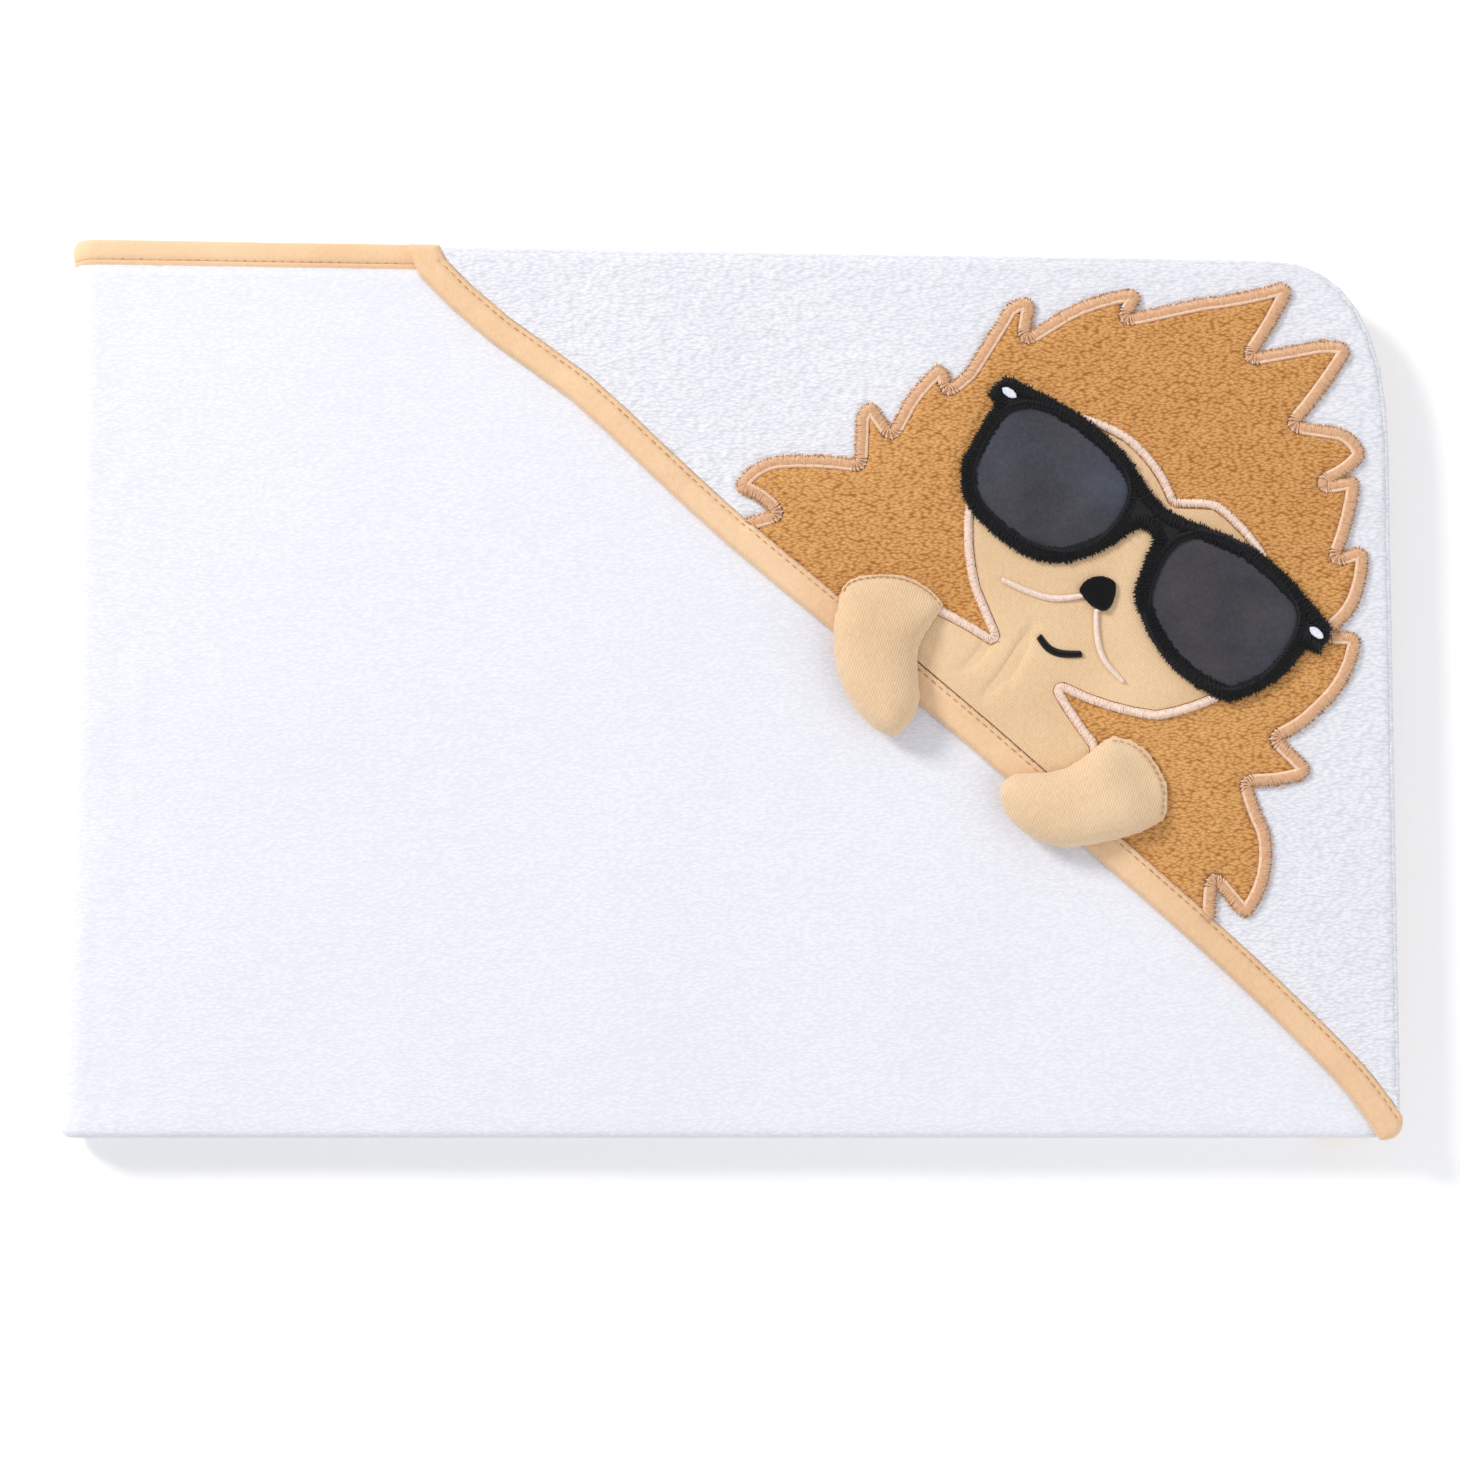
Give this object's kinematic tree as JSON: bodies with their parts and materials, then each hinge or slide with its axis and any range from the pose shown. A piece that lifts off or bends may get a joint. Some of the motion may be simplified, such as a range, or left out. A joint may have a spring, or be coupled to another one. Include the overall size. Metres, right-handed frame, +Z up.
{
  "type": "hooded baby towel",
  "caption": "Folded hooded baby towel with a maned animal face in sunglasses on the hood, taped edges, and stuffed paws that lift at their sewn edges.",
  "frame": {"origin": "centre of the folded packet's underside, on the surface it lies on", "axes": "+X from the half fold towards the hood's side seam, +Y towards the hood's top seam, +Z up"},
  "size_m": [0.419, 0.2839, 0.0367],
  "materials": {
    "white_terry": "white looped terry cloth",
    "peach_jersey": "peach brushed jersey tape",
    "pale_jersey": "pale tan brushed jersey",
    "caramel_terry": "caramel looped terry cloth",
    "tan_satin": "light tan satin stitch",
    "cream_satin": "pinkish cream satin stitch",
    "black_satin": "black satin stitch",
    "grey_satin": "dark grey short-pile fabric",
    "white_thread": "white embroidery thread",
    "tan_thread": "tan sewing thread",
    "fibre_filling": "white fibre filling"
  },
  "bodies": {
    "lower_half": {"towel_lower_half": "white_terry", "binding_top_lower": "peach_jersey", "binding_side_lower": "peach_jersey", "binding_end_lower": "peach_jersey"},
    "upper_half": {"towel_upper_half": "white_terry", "binding_top_upper": "peach_jersey", "binding_side_upper": "peach_jersey", "binding_end_upper": "peach_jersey", "edge_binding_stitching": "tan_thread", "hood_panel": "white_terry", "hood_seam": "white_terry", "hood_binding": "peach_jersey", "hood_binding_stitching": "tan_thread", "mane_applique": "caramel_terry", "mane_border": "tan_satin", "face_applique": "pale_jersey", "face_border_left": "cream_satin", "face_border_brow": "cream_satin", "face_border_right": "cream_satin", "glasses_frame": "black_satin", "lens_left": "grey_satin", "lens_right": "grey_satin", "glasses_rivet_left": "white_thread", "glasses_rivet_right": "white_thread", "nose": "black_satin", "mouth": "black_satin", "cheek_line_left": "cream_satin", "cheek_line_right": "cream_satin", "paw_left_sewn_edge": "pale_jersey", "paw_left_stitching": "tan_thread", "paw_right_sewn_edge": "pale_jersey", "paw_right_stitching": "tan_thread"},
    "left_paw": {"paw_left_back": "pale_jersey", "paw_left_front": "pale_jersey", "paw_left_filling": "fibre_filling"},
    "right_paw": {"paw_right_back": "pale_jersey", "paw_right_front": "pale_jersey", "paw_right_filling": "fibre_filling"}
  },
  "joints": [
    {"name": "half_fold", "type": "hinge", "parent": "lower_half", "child": "upper_half", "pos_m": [-0.2095, 0, 0.00855], "axis": [0, -1, 0], "range_deg": [0, 175]},
    {"name": "left_paw_flap", "type": "hinge", "parent": "upper_half", "child": "left_paw", "pos_m": [0.0515, 0.02675, 0.02575], "axis": [-0.9914, 0.1312, 0], "range_deg": [0, 90]},
    {"name": "right_paw_flap", "type": "hinge", "parent": "upper_half", "child": "right_paw", "pos_m": [0.128, -0.03, 0.02575], "axis": [-0.5328, 0.8462, 0], "range_deg": [0, 90]}
  ]
}
